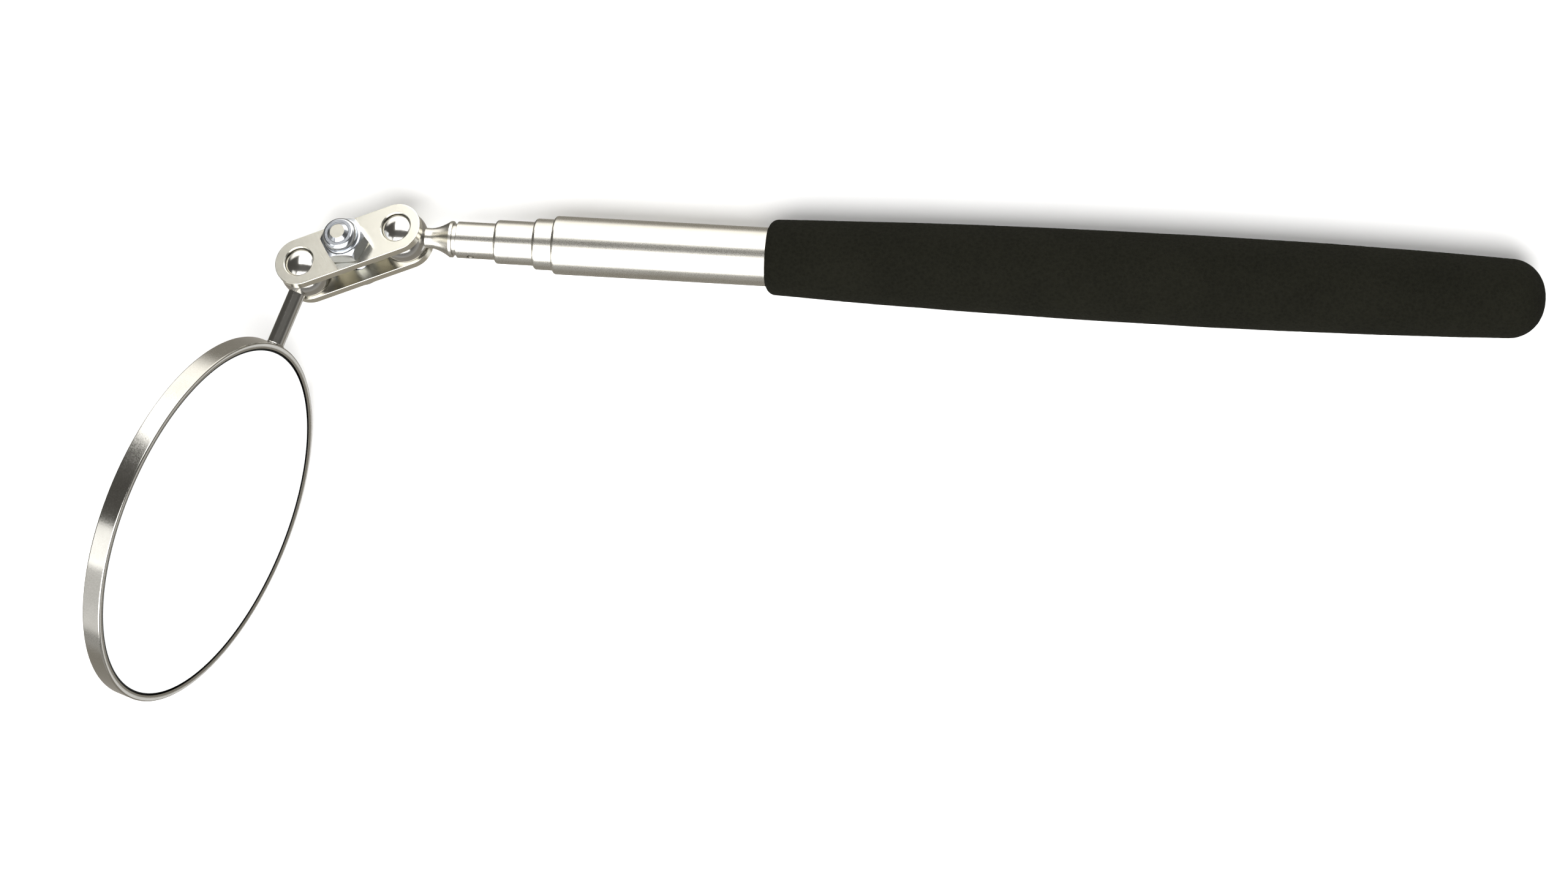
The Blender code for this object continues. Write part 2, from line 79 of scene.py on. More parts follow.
# Foam grip, x from its front end
GRIP_BELLY_AT = 55.4 * MM
GRIP_REAR_AT = 99.4 * MM
GRIP_FRONT_RADIUS = 5.12 * MM
GRIP_BELLY_RADIUS = 6.15 * MM
GRIP_REAR_RADIUS = 5.33 * MM
GRIP_EDGE = 1.4 * MM
GRIP_BORE = 4.05 * MM
GRIP_BORE_END = 99.8 * MM
PORE_SIZE = 0.55 * MM
PORE_DEPTH = 0.020 * MM
SWELL_SIZE = 7.0 * MM
SWELL_DEPTH = 0.035 * MM
SKIN_INSET = 0.03 * MM

# Ball stud and its cross pin, z from the ball's centre
NECK_RADIUS = 1.38 * MM
NECK_END = 3.95 * MM
COLLAR_RADIUS = 2.5 * MM
COLLAR_FROM = 6.65 * MM
COLLAR_TO = 7.15 * MM
SHANK_RADIUS = 2.17 * MM
SHANK_END = 13.0 * MM
PIN_AT = 9.7 * MM
PIN_RADIUS = 0.42 * MM
PIN_LENGTH = 4.5 * MM
PIN_ROOM_IN_TUBE = 0.06 * MM
PIN_ROOM_IN_STUD = 0.03 * MM

# Double ball joint
BALL_RADIUS = 3.55 * MM
SEAT_RADIUS = 3.61 * MM
PLATE_HALF_WIDTH = 3.43 * MM
PLATE_THICK = 1.34 * MM
PLATE_GAP = 3.84 * MM
PLATE_EDGE = 0.08 * MM
PLATE_SHARP = 9.0  # degrees, so that the flat faces stay flat beside their rounded edges
SOCKET_RADIUS = 2.05 * MM
SOCKET_CHAMFER = 0.10 * MM
SCREW_HOLE = 1.6 * MM
SCREW_RADIUS = 1.45 * MM
SCREW_END = 7.62 * MM
HEAD_RADIUS = 2.75 * MM
HEAD_HEIGHT = 1.7 * MM
SLOT_WIDTH = 0.8 * MM
SLOT_DEPTH = 0.8 * MM
SLOT_TURN = 35.0
THREAD_FROM = -2.9 * MM
THREAD_TO = 7.22 * MM
THREAD_PITCH = 0.5 * MM
THREAD_DEPTH = 0.3 * MM
NUT_FLATS = 5.5 * MM
NUT_CORNER = NUT_FLATS / math.sqrt(3.0)
NUT_CHAMFER = 0.4 * MM
NUT_HEX = 2.5 * MM
NUT_HEIGHT = 3.95 * MM
NUT_COLLAR = 2.35 * MM
NUT_BORE = 1.5 * MM
NUT_TURN = 12.0
REST_GAP = 0.03 * MM

# Mirror head
MIRROR_REACH = 37.04 * MM
STEM_RADIUS = 1.17 * MM
STEM_BELOW_GLASS = 1.3 * MM
CUP_RADIUS = 26.0 * MM
CUP_TOP = 0.2 * MM
CUP_BOTTOM = -2.5 * MM
CUP_FLOOR = -2.0 * MM
CUP_INSIDE = 25.45 * MM
LIP_SLOPE = 0.09 * MM
LIP_INNER = 25.12 * MM
GLASS_RADIUS = 25.35 * MM
GLASS_THICK = 1.65 * MM
GLASS_GROUND = 0.55 * MM

# Floor and studio. A span is a pair of direction components, where a zone starts and is full
FLOOR_HALF = 4.0
ROOM_TONES = (
    (0.0, (0.42, 0.395, 0.35)),
    (0.46, (0.42, 0.395, 0.35)),
    (0.51, (0.62, 0.61, 0.59)),
    (0.60, (0.45, 0.44, 0.425)),
    (0.71, (0.14, 0.137, 0.13)),
    (1.0, (0.2, 0.195, 0.185)),
)
DARK_TONE = (0.13, 0.125, 0.115)
DARK_SPAN_X = (-0.25, -0.5)
DARK_SPAN_Y = (-0.15, 0.1)
FRONT_TONE = (2.6, 2.55, 2.45)
FRONT_SPAN_Y = (0.45, 0.7)
FRONT_TOP_SPAN = (0.0, -0.06)
FRONT_FOOT_SPAN = (-0.78, -0.5)
CARD_TONE = (1.3, 1.3, 1.3)
CARD_SPAN = (0.986, 0.993)  # cosines of the angle from the card's centre
SOFTBOXES = (  # name, azimuth, elevation, distance, width, height, radiance
    ("softbox_over", 180.0, 66.0, 1.6, 2.2, 2.4, 4.4),
    ("softbox_front", 2.0, 20.0, 1.6, 1.7, 1.3, 4.2),
    ("softbox_side", -91.0, 44.0, 1.6, 0.62, 0.45, 2.3),
    ("softbox_fill", -124.0, 27.0, 1.6, 1.15, 0.9, 1.0),
)

ROUND = 96  # sides of a small turned piece
LARGE_ROUND = 256  # sides of the mirror's cup and glass


# ---------------------------------------------------------------- meshes


def frame_matrix(origin, x_axis, z_axis):
    """A matrix with the given origin, X along x_axis and Z as near z_axis as it can be."""
    x = Vector(x_axis).normalized()
    y = Vector(z_axis).cross(x).normalized()
    z = x.cross(y)
    rotation = Matrix((x, y, z)).transposed().to_4x4()
    return Matrix.Translation(origin) @ rotation


def piece(name, mesh, matrix, body, materials, stands_for=()):
    """Puts a finished mesh in the row frame as a piece that rides on a CAD body."""
    mesh.transform(matrix)
    obj = bpy.data.objects.new(name, mesh)
    bpy.context.scene.collection.objects.link(obj)
    for mat in materials:
        mesh.materials.append(mat)
    flats = obj.modifiers.new("flat faces", "WEIGHTED_NORMAL")
    flats.keep_sharp = True
    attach(obj, body)
    if stands_for:
        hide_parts(*stands_for)
    return obj


def arc(center_r, center_z, radius, start, end, count):
    """Points on an arc in the (r, z) plane of a turned profile, angles in degrees."""
    points = []
    for i in range(count + 1):
        t = math.radians(start + (end - start) * i / count)
        points.append((center_r + radius * math.cos(t), center_z + radius * math.sin(t)))
    return points


def turned(name, profile, sides, closed=True, sharp=30.0, slots=None, shape=None):
    """A solid of revolution about Z from (r, z) points, outer side from top down.

    slots gives the material index of each stretch of the profile, all 0 if left out, and
    shape may change a point: it takes the profile's r and z and the angle round the axis.
    """
    work = bmesh.new()
    rings = []
    for r, z in profile:
        if r < 1e-9:
            rings.append([work.verts.new((0.0, 0.0, z))] * sides)
            continue
        ring = []
        for i in range(sides):
            t = 2 * math.pi * i / sides
            radius, height = shape(r, z, t) if shape else (r, z)
            ring.append(work.verts.new((radius * math.cos(t), radius * math.sin(t), height)))
        rings.append(ring)
    count = len(profile)
    for k in range(count if closed else count - 1):
        high, low = rings[k], rings[(k + 1) % count]
        for i in range(sides):
            j = (i + 1) % sides
            corners = []
            for vert in (high[i], low[i], low[j], high[j]):
                if vert not in corners:
                    corners.append(vert)
            if len(corners) > 2:
                work.faces.new(corners).material_index = slots[k] if slots else 0
    return finished(name, work, sharp)


def finished(name, work, sharp=30.0):
    """Turns a bmesh into a mesh with outward normals and marked sharp edges."""
    bmesh.ops.recalc_face_normals(work, faces=work.faces)
    mesh = bpy.data.meshes.new(name)
    work.to_mesh(mesh)
    work.free()
    mesh.shade_smooth()
    mesh.set_sharp_from_angle(angle=math.radians(sharp))
    return mesh


def cut(mesh, cutters):
    """The mesh less the cutter meshes, with the exact Boolean solver."""
    obj = bpy.data.objects.new(mesh.name + "_work", mesh)
    bpy.context.scene.collection.objects.link(obj)
    helpers = []
    for cutter in cutters:
        helper = bpy.data.objects.new("cutter", cutter)
        bpy.context.scene.collection.objects.link(helper)
        modifier = obj.modifiers.new("cut", "BOOLEAN")
        modifier.operation = "DIFFERENCE"
        modifier.solver = "EXACT"
        modifier.object = helper
        helpers.append(helper)
    bpy.context.view_layer.update()
    graph = bpy.context.evaluated_depsgraph_get()
    made = bpy.data.meshes.new_from_object(obj.evaluated_get(graph))
    for helper in [obj, *helpers]:
        bpy.data.objects.remove(helper, do_unlink=True)
    made.materials.clear()
    made.shade_smooth()
    made.set_sharp_from_angle(angle=math.radians(30.0))
    return made


# ------------------------------------------------------------- materials


class Shade:
    """Builds one node material round a Principled shader."""

    def __init__(self, name, metallic=0.0):
        self.material = bpy.data.materials.new(name)
        self.material.use_nodes = True
        self.tree = self.material.node_tree
        self.shader = self.tree.nodes["Principled BSDF"]
        self.shader.inputs["Metallic"].default_value = metallic
        self.place = self.tree.nodes.new("ShaderNodeTexCoord").outputs["Object"]
        self.normal = None

    def feed(self, socket, value):
        """Links another node's output to the socket, or sets the socket to a plain value."""
        if hasattr(value, "is_linked"):
            self.tree.links.new(value, socket)
        else:
            socket.default_value = value

    def node(self, kind, **inputs):
        made = self.tree.nodes.new(kind)
        for key, value in inputs.items():
            self.feed(made.inputs[key.replace("_", " ")], value)
        return made

    def noise(self, size, detail=3.0, rough=0.55, stretch=None):
        """Noise whose features are about size metres across."""
        place = self.place
        if stretch:
            mapping = self.node("ShaderNodeMapping", Vector=place)
            mapping.inputs["Scale"].default_value = stretch
            place = mapping.outputs[0]
        made = self.node("ShaderNodeTexNoise", Vector=place, Scale=1.0 / size)
        made.inputs["Detail"].default_value = detail
        made.inputs["Roughness"].default_value = rough
        return made.outputs["Fac"]

    def cells(self, size):
        """Distance from scattered points that are about size metres apart."""
        made = self.node("ShaderNodeTexVoronoi", Vector=self.place, Scale=1.0 / size)
        return made.outputs["Distance"]

    def spread(self, value, low, high, start=0.35, end=0.65):
        """The value's middle range stretched to run from low to high."""
        made = self.node("ShaderNodeMapRange", Value=value)
        made.inputs["From Min"].default_value = start
        made.inputs["From Max"].default_value = end
        made.inputs["To Min"].default_value = low
        made.inputs["To Max"].default_value = high
        return made.outputs["Result"]

    def blend(self, factor, first, second):
        """A mix of two colours, each another node's output or a plain (r, g, b)."""
        made = self.tree.nodes.new("ShaderNodeMix")
        made.data_type = "RGBA"
        self.feed(made.inputs["Factor"], factor)
        for key, color in (("A", first), ("B", second)):
            self.feed(made.inputs[key], (*color, 1.0) if isinstance(color, tuple) else color)
        return made.outputs["Result"]

    def join(self, operation, first, second):
        made = self.tree.nodes.new("ShaderNodeMath")
        made.operation = operation
        self.feed(made.inputs[0], first)
        self.feed(made.inputs[1], second)
        return made.outputs[0]

    def color(self, value):
        self.tree.links.new(value, self.shader.inputs["Base Color"])

    def roughness(self, value):
        self.tree.links.new(value, self.shader.inputs["Roughness"])

    def bump(self, height, depth, strength=1.0):
        """Raises the surface by height times depth, on top of any earlier bump."""
        made = self.node("ShaderNodeBump", Height=height, Strength=strength, Distance=depth)
        if self.normal:
            self.tree.links.new(self.normal, made.inputs["Normal"])
        self.normal = made.outputs["Normal"]
        self.tree.links.new(self.normal, self.shader.inputs["Normal"])

    def set(self, **values):
        for key, value in values.items():
            self.shader.inputs[key.replace("_", " ")].default_value = value


def metal(name, dark, light, smooth, rough, grain, grain_depth, mottle=4 * MM):
    """Plated metal: a slow drift of tone, a fine grain, and faint handling marks."""
    shade = Shade(name, metallic=1.0)
    drift = shade.spread(shade.noise(mottle, 4.0), 0.0, 1.0)
    speck = shade.spread(shade.noise(grain, 2.0), 0.0, 1.0, 0.3, 0.7)
    tone = shade.join("ADD", shade.join("MULTIPLY", drift, 0.45), shade.join("MULTIPLY", speck, 0.55))
    shade.color(shade.blend(tone, dark, light))
    marks = shade.spread(shade.noise(1.1 * MM, 5.0, 0.7), 0.0, 0.3, 0.55, 0.8)
    gloss = shade.spread(speck, smooth, rough, 0.0, 1.0)
    shade.roughness(shade.join("ADD", gloss, shade.join("MULTIPLY", marks, rough - smooth)))
    shade.bump(shade.noise(grain, 2.0), grain_depth)
    return shade.material


def nylon():
    shade = Shade("nylon")
    cloud = shade.spread(shade.noise(0.8 * MM, 4.0), 0.0, 1.0)
    shade.color(shade.blend(cloud, (0.66, 0.67, 0.62), (0.78, 0.79, 0.75)))
    shade.roughness(shade.spread(cloud, 0.36, 0.5, 0.0, 1.0))
    shade.bump(shade.noise(0.15 * MM), 0.01 * MM)
    return shade.material


def black_foam():
    shade = Shade("black_foam")
    cells = shade.cells(0.5 * MM)
    pores = shade.spread(cells, 0.0, 1.0, 0.0, 0.7)
    drift = shade.spread(shade.noise(9 * MM, 4.0), 0.0, 1.0)
    skin = shade.blend(pores, (0.0045, 0.0045, 0.0030), (0.0090, 0.0090, 0.0060))
    worn = shade.blend(drift, (0.0056, 0.0056, 0.0038), (0.0084, 0.0083, 0.0056))
    shade.color(shade.blend(0.5, skin, worn))
    shade.roughness(shade.spread(shade.noise(0.4 * MM), 0.78, 0.95))
    shade.set(Specular_IOR_Level=0.04)
    shade.bump(shade.noise(0.3 * MM, 4.0, 0.6), 0.12 * MM)
    shade.bump(pores, 0.05 * MM)
    return shade.material


def silvered_glass():
    shade = Shade("silvered_glass", metallic=1.0)
    haze = shade.spread(shade.noise(7 * MM, 5.0, 0.6), 0.0, 1.0)
    shade.color(shade.blend(haze, (0.93, 0.94, 0.94), (0.96, 0.965, 0.965)))
    smear = shade.noise(6 * MM, 6.0, 0.65, stretch=(1.0, 3.0, 1.0))
    shade.roughness(shade.spread(smear, 0.012, 0.035))
    return shade.material


def ground_edge_and_gap_shade():
    shade = Shade("ground_glass_edge_and_gap_shade")
    grit = shade.spread(shade.noise(0.2 * MM, 4.0), 0.0, 1.0)
    # Painted shade: the near-black grit colour is partly the ground edge's own tone and partly the shade of the
    # gap under the cup's lip.
    shade.color(shade.blend(grit, (0.010, 0.011, 0.011), (0.024, 0.027, 0.026)))
    shade.roughness(shade.spread(grit, 0.45, 0.65, 0.0, 1.0))
    shade.bump(grit, 0.01 * MM)
    return shade.material


def grey_board():
    shade = Shade("grey_board")
    fibre = shade.spread(shade.noise(0.35 * MM, 6.0, 0.7, stretch=(1.0, 0.25, 1.0)), 0.0, 1.0)
    shade.color(shade.blend(fibre, (0.24, 0.23, 0.21), (0.38, 0.37, 0.34)))
    shade.roughness(shade.spread(fibre, 0.85, 0.97, 0.0, 1.0))
    shade.bump(fibre, 0.05 * MM)
    return shade.material


SATIN = metal(
    "satin_nickel", (0.43, 0.415, 0.375), (0.51, 0.495, 0.455), 0.25, 0.32, 0.09 * MM, 0.0010 * MM
)
POLISHED = metal(
    "polished_steel", (0.42, 0.41, 0.385), (0.50, 0.49, 0.465), 0.13, 0.19, 0.1 * MM, 0.0008 * MM
)
RIM = metal(
    "rim_nickel", (0.38, 0.37, 0.34), (0.46, 0.45, 0.42), 0.13, 0.19, 0.2 * MM, 0.002 * MM
)
BLASTED = metal(
    "blasted_nickel", (0.58, 0.56, 0.485), (0.66, 0.64, 0.565), 0.17, 0.24, 0.07 * MM, 0.0022 * MM
)
ZINC = metal(
    "blue_zinc", (0.43, 0.45, 0.48), (0.50, 0.52, 0.55), 0.15, 0.21, 0.1 * MM, 0.0006 * MM, 1.6 * MM
)
BRASS = metal(
    "turned_brass", (0.55, 0.40, 0.16), (0.72, 0.55, 0.25), 0.24, 0.36, 0.12 * MM, 0.006 * MM
)
BRONZE = metal(
    "spring_bronze", (0.46, 0.28, 0.12), (0.60, 0.41, 0.21), 0.28, 0.42, 0.2 * MM, 0.005 * MM
)
NYLON = nylon()
FOAM = black_foam()
SILVER = silvered_glass()
GROUND_EDGE_AND_SHADE = ground_edge_and_gap_shade()
BOARD = grey_board()

CARRIED_OVER = {
    "end_plug": BRASS,
    "stop_bush_7mm": BRASS,
    "stop_bush_6mm": BRASS,
    "stop_bush_5mm": BRASS,
    "friction_spring_7mm": BRONZE,
    "friction_spring_6mm": BRONZE,
    "friction_spring_5mm": BRONZE,
    "nylon_insert": NYLON,
    "backing_pad": BOARD,
}
for node_name, carried_material in CARRIED_OVER.items():
    for node_slot in frame["nodes"][node_name].material_slots:
        node_slot.material = carried_material


# ---------------------------------------------------- frames of the parts

BALL_ON_HANDLE = Vector(JOINTS["handle_ball_fold"]["pos_m"])
BALL_ON_MIRROR = Vector(JOINTS["mirror_ball_fold"]["pos_m"])
PLATE_NORMAL = Vector(JOINTS["handle_ball_fold"]["axis"])
STEM_AXIS = Vector(JOINTS["mirror_turn"]["axis"]).normalized()
GLASS_NORMAL = -Vector(frame["record"]["mounts"][0]["axis"]).normalized()
SPACING = (BALL_ON_HANDLE - BALL_ON_MIRROR).length

# Turned pieces run along their frame's local Z
HANDLE = frame_matrix((0.0, BALL_ON_HANDLE.y, BALL_ON_HANDLE.z), (0, 0, -1), (1, 0, 0))
STUD = frame_matrix(BALL_ON_HANDLE, (0, 0, -1), (1, 0, 0))
TIP = frame_matrix(BALL_ON_HANDLE, (1, 0, 0), PLATE_NORMAL)
PIN = TIP @ Matrix.Translation((PIN_AT, 0, 0)) @ Matrix.Rotation(math.pi / 2, 4, "X")
LINK = frame_matrix(
    (BALL_ON_HANDLE + BALL_ON_MIRROR) / 2, BALL_ON_HANDLE - BALL_ON_MIRROR, PLATE_NORMAL
)
STEM = frame_matrix(BALL_ON_MIRROR, GLASS_NORMAL, -STEM_AXIS)
GLASS = frame_matrix(
    BALL_ON_MIRROR + STEM_AXIS * MIRROR_REACH + GLASS_NORMAL * STEM_BELOW_GLASS,
    -STEM_AXIS,
    GLASS_NORMAL,
)


# ----------------------------------------------------------------- handle


def grip_radius(x):
    """Outer radius of the foam grip, x from its front end: a shallow barrel."""
    if x < GRIP_BELLY_AT:
        share = (GRIP_BELLY_AT - x) / GRIP_BELLY_AT
        return GRIP_BELLY_RADIUS - (GRIP_BELLY_RADIUS - GRIP_FRONT_RADIUS) * share ** 2.1
    share = (x - GRIP_BELLY_AT) / (GRIP_REAR_AT - GRIP_BELLY_AT)
    return GRIP_BELLY_RADIUS - (GRIP_BELLY_RADIUS - GRIP_REAR_RADIUS) * share ** 2.1


def foam_grip():
    """The foam sleeve: a barrel with a rounded front edge and a domed rear end."""
    low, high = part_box("grip_sleeve")
    length = high.x - low.x
    dome = length - GRIP_REAR_AT
    step = 0.3 * MM
    profile = []
    rear_steps = 26
    for i in range(rear_steps + 1):
        t = math.radians(90.0 * (1.0 - i / rear_steps))
        profile.append((GRIP_REAR_RADIUS * math.cos(t) ** 0.9, GRIP_REAR_AT + dome * math.sin(t)))
    stations = round((GRIP_REAR_AT - GRIP_EDGE) / step)
    for i in range(1, stations + 1):
        x = GRIP_REAR_AT + (GRIP_EDGE - GRIP_REAR_AT) * i / stations
        profile.append((grip_radius(x), x))
    edge = grip_radius(GRIP_EDGE)
    profile += arc(edge - GRIP_EDGE, GRIP_EDGE, GRIP_EDGE, -10, -90, 8)
    profile += [(GRIP_BORE, 0.0), (GRIP_BORE, GRIP_BORE_END), (0.0, GRIP_BORE_END)]
    mesh = turned("foam_grip", profile, 128, closed=False, sharp=50.0)
    outward = [vert.normal.copy() for vert in mesh.vertices]
    for vert, out in zip(mesh.vertices, outward):
        radius = math.hypot(vert.co.x, vert.co.y)
        if radius < GRIP_BORE + 0.05 * MM and vert.co.z < GRIP_BORE_END + 0.1 * MM:
            continue
        pores = noise.noise(vert.co / PORE_SIZE) * PORE_DEPTH
        swell = noise.noise(vert.co / SWELL_SIZE) * SWELL_DEPTH
        vert.co += out * (pores + swell - SKIN_INSET)
    front = Matrix.Translation((low.x, 0.0, 0.0)) @ HANDLE
    grip = piece("foam_grip", mesh, front, "handle", [FOAM], ["grip_sleeve"])


def tube_profile(node, mouth):
    """A drawn tube whose front end is rolled in to leave a mouth for the next tube."""
    radius = TUBE_RADII[node]
    front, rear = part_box(node)[0].x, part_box(node)[1].x
    inner = radius - TUBE_WALL
    points = [(radius - 0.05 * MM, rear), (radius, rear - 0.05 * MM)]
    points += arc(radius - LIP_ROUND, front + LIP_ROUND, LIP_ROUND, 0, -90, 9)
    points += [(mouth + 0.04 * MM, front), (mouth, front + 0.04 * MM)]
    points.append((mouth, front + LIP_LAND))
    points += [(inner, front + LIP_LAND + 0.35 * MM), (inner, rear)]
    return points


def nested_tubes():
    order = list(TUBE_RADII)
    bodies = ("handle", "outer_section", "middle_section")
    for node, inside, body in zip(order, order[1:], bodies):
        profile = tube_profile(node, TUBE_RADII[inside] + TUBE_RUN)
        mesh = turned(node + "_drawn", profile, ROUND, sharp=40.0)
        piece(mesh.name, mesh, HANDLE, body, [SATIN], [node])


def pin_hole(radius):
    """Cutter for the cross pin's hole, in the row frame."""
    reach = 4 * MM
    profile = [(0.0, reach), (radius, reach), (radius, -reach), (0.0, -reach)]
    cutter = turned("pin_hole", profile, 40, closed=False)
    cutter.transform(PIN)
    return cutter


def innermost_tube():
    """The 5 mm tube, with its square front end and the cross pin's hole."""
    radius = TUBE_RADII["tube_5mm"]
    front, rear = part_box("tube_5mm")[0].x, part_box("tube_5mm")[1].x
    edge = 0.1 * MM
    profile = [(radius, rear)]
    profile += arc(radius - edge, front + edge, edge, 0, -90, 4)
    profile += [(radius - TUBE_WALL, front), (radius - TUBE_WALL, rear)]
    mesh = turned("tube_5mm_drawn", profile, ROUND)
    mesh.transform(HANDLE)
    made = cut(mesh, [pin_hole(PIN_RADIUS + PIN_ROOM_IN_TUBE)])
    piece("tube_5mm_drawn", made, Matrix(), "tip", [SATIN], ["tube_5mm"])


def ball_stud():
    """Ball, waisted neck, flared collar and the shank inside the 5 mm tube."""
    start = math.degrees(math.asin(NECK_RADIUS / BALL_RADIUS))
    points = [(0.0, SHANK_END), (SHANK_RADIUS - 0.3 * MM, SHANK_END)]
    points += [(SHANK_RADIUS, SHANK_END - 0.3 * MM), (SHANK_RADIUS, COLLAR_TO)]
    points += arc(COLLAR_RADIUS - 0.1 * MM, COLLAR_TO - 0.1 * MM, 0.1 * MM, 90, 0, 4)
    points.append((COLLAR_RADIUS, COLLAR_FROM + 0.08 * MM))
    steps = 18
    for i in range(steps + 1):
        share = 1.0 - i / steps
        z = NECK_END + (COLLAR_FROM - NECK_END) * share
        points.append((NECK_RADIUS + (COLLAR_RADIUS - 0.05 * MM - NECK_RADIUS) * share ** 1.7, z))
    points += arc(0.0, 0.0, BALL_RADIUS, 90 - start, -88, 40)
    points.append((0.0, -BALL_RADIUS))
    mesh = turned("ball_stud_turned", points, ROUND, closed=False)
    mesh.transform(STUD)
    made = cut(mesh, [pin_hole(PIN_RADIUS + PIN_ROOM_IN_STUD)])
    for face in made.polygons:
        on_ball = (face.center - BALL_ON_HANDLE).length < BALL_RADIUS + REST_GAP
        face.material_index = 0 if on_ball else 1
    finish = [POLISHED, SATIN]
    piece("ball_stud_turned", made, Matrix(), "tip", finish, ["ball_stud"])


def retaining_pin():
    half = PIN_LENGTH / 2
    edge = 0.1 * MM
    profile = [(0.0, half)] + arc(PIN_RADIUS - edge, half - edge, edge, 90, 0, 4)
    profile += arc(PIN_RADIUS - edge, edge - half, edge, 0, -90, 4) + [(0.0, -half)]
    mesh = turned("retaining_pin_turned", profile, 40, closed=False)
    piece(mesh.name, mesh, PIN, "tip", [POLISHED], ["retaining_pin"])


# ----------------------------------------------------- double ball joint


def link_plate(node, side):
    """A bar with round ends, chamfered sockets for the balls and a clearance hole."""
    half = PLATE_THICK / 2
    work = bmesh.new()

    def ring(radius, z, center, stretch=0.0):
        """A circle, or the outline of the bar where stretch parts it in two."""
        made = []
        count = 72
        for i in range(count):
            t = 2 * math.pi * (i + 0.5) / count
            shift = math.copysign(stretch, math.cos(t))
            point = (center + shift + radius * math.cos(t), radius * math.sin(t), z)
            made.append(work.verts.new(point))
        return made

    def wall(rings):
        for upper, lower in zip(rings, rings[1:]):
            for i in range(len(upper)):
                j = (i + 1) % len(upper)
                work.faces.new((upper[i], lower[i], lower[j], upper[j]))

    def rounded(radius, sign, width):
        """(radius, z) points round both edges of a wall, outwards or into a hole."""
        points = []
        for i in range(5):
            t = math.radians(22.5 * i)
            points.append((radius - sign * width * (1 - math.sin(t)), half - width * (1 - math.cos(t))))
        return points + [(r, -z) for r, z in reversed(points)]

    outline = [ring(r, z, 0.0, SPACING / 2) for r, z in rounded(PLATE_HALF_WIDTH, 1, PLATE_EDGE)]
    screw_hole = [ring(r, z, 0.0) for r, z in rounded(SCREW_HOLE, -1, 0.05 * MM)]
    loops = [outline, screw_hole]
    middle = (PLATE_GAP + PLATE_THICK) / 2
    seat_from = math.degrees(math.acos(SOCKET_RADIUS / SEAT_RADIUS))
    seat_to = math.degrees(math.asin(PLATE_GAP / 2 / SEAT_RADIUS))
    for x in (-SPACING / 2, SPACING / 2):
        flare = SOCKET_CHAMFER
        seat = [(SOCKET_RADIUS + flare + 0.03 * MM, half), (SOCKET_RADIUS + flare, half - 0.02 * MM)]
        seat += [(SOCKET_RADIUS + 0.02 * MM, half - flare), (SOCKET_RADIUS, half - flare - 0.03 * MM)]
        seat += arc(0.0, -middle, SEAT_RADIUS, seat_from, seat_to, 8)
        loops.append([ring(r, z, x) for r, z in seat])
    for rings in loops:
        wall(rings)
    for level in (0, -1):
        border = []
        for rings in loops:
            loop = rings[level]
            border += [work.edges.get((loop[i - 1], loop[i])) for i in range(len(loop))]
        bmesh.ops.triangle_fill(work, edges=border, use_beauty=True)
    mesh = finished(node, work, sharp=PLATE_SHARP)
    place = LINK @ Matrix.Translation((0, 0, side * middle))
    if side < 0:
        place = place @ Matrix.Rotation(math.pi, 4, "X")
    name = node + "_blasted"
    piece(name, mesh, place, "link", [BLASTED], [node])


def thread(radius, z, turn):
    """Cuts a screw thread's groove into a turned shank."""
    if not THREAD_FROM < z < THREAD_TO or radius < SCREW_RADIUS - 0.01 * MM:
        return radius, z
    phase = (z / THREAD_PITCH - turn / (2 * math.pi)) % 1.0
    depth = min(max(abs(2 * phase - 1) * 1.3 - 0.15, 0.0), 1.0) * THREAD_DEPTH
    fade = min(1.0, (z - THREAD_FROM) / (0.3 * MM), (THREAD_TO - z) / (0.1 * MM))
    return radius - depth * fade, z


def clamp_screw():
    """Cheese-head screw from the rear plate through to the lock nut, with a cut thread."""
    head = -(PLATE_GAP / 2 + PLATE_THICK) - REST_GAP
    chamfer = SCREW_END - THREAD_TO
    profile = [(0.0, SCREW_END), (SCREW_RADIUS - chamfer - 0.03 * MM, SCREW_END)]
    profile.append((SCREW_RADIUS - chamfer, SCREW_END - 0.02 * MM))
    rings = round((THREAD_TO - THREAD_FROM) / (THREAD_PITCH / 10))
    for i in range(rings + 1):
        profile.append((SCREW_RADIUS, THREAD_TO + (THREAD_FROM - THREAD_TO) * i / rings))
    edge = 0.5 * MM
    profile += [(SCREW_RADIUS, head), (HEAD_RADIUS - 0.06 * MM, head)]
    profile.append((HEAD_RADIUS, head - 0.06 * MM))
    profile += arc(HEAD_RADIUS - edge, head - HEAD_HEIGHT + edge, edge, 0, -90, 8)
    profile.append((0.0, head - HEAD_HEIGHT))
    mesh = turned("clamp_screw", profile, 60, closed=False, sharp=50.0, shape=thread)
    work = bmesh.new()
    bmesh.ops.create_cube(work, size=1.0)
    slot = finished("slot", work)
    depth = 2 * SLOT_DEPTH
    slot.transform(Matrix.Diagonal((SLOT_WIDTH, 8 * MM, depth, 1.0)))
    slot.transform(Matrix.Rotation(math.radians(SLOT_TURN), 4, "Z"))
    slot.transform(Matrix.Translation((0, 0, head - HEAD_HEIGHT)))
    made = cut(mesh, [slot])
    for face in made.polygons:
        face.material_index = 1 if face.center.z > SCREW_END - 0.01 * MM else 0
    finish = [ZINC, BLASTED]
    piece("clamp_screw_cut", made, LINK, "link", finish, ["clamp_screw"])


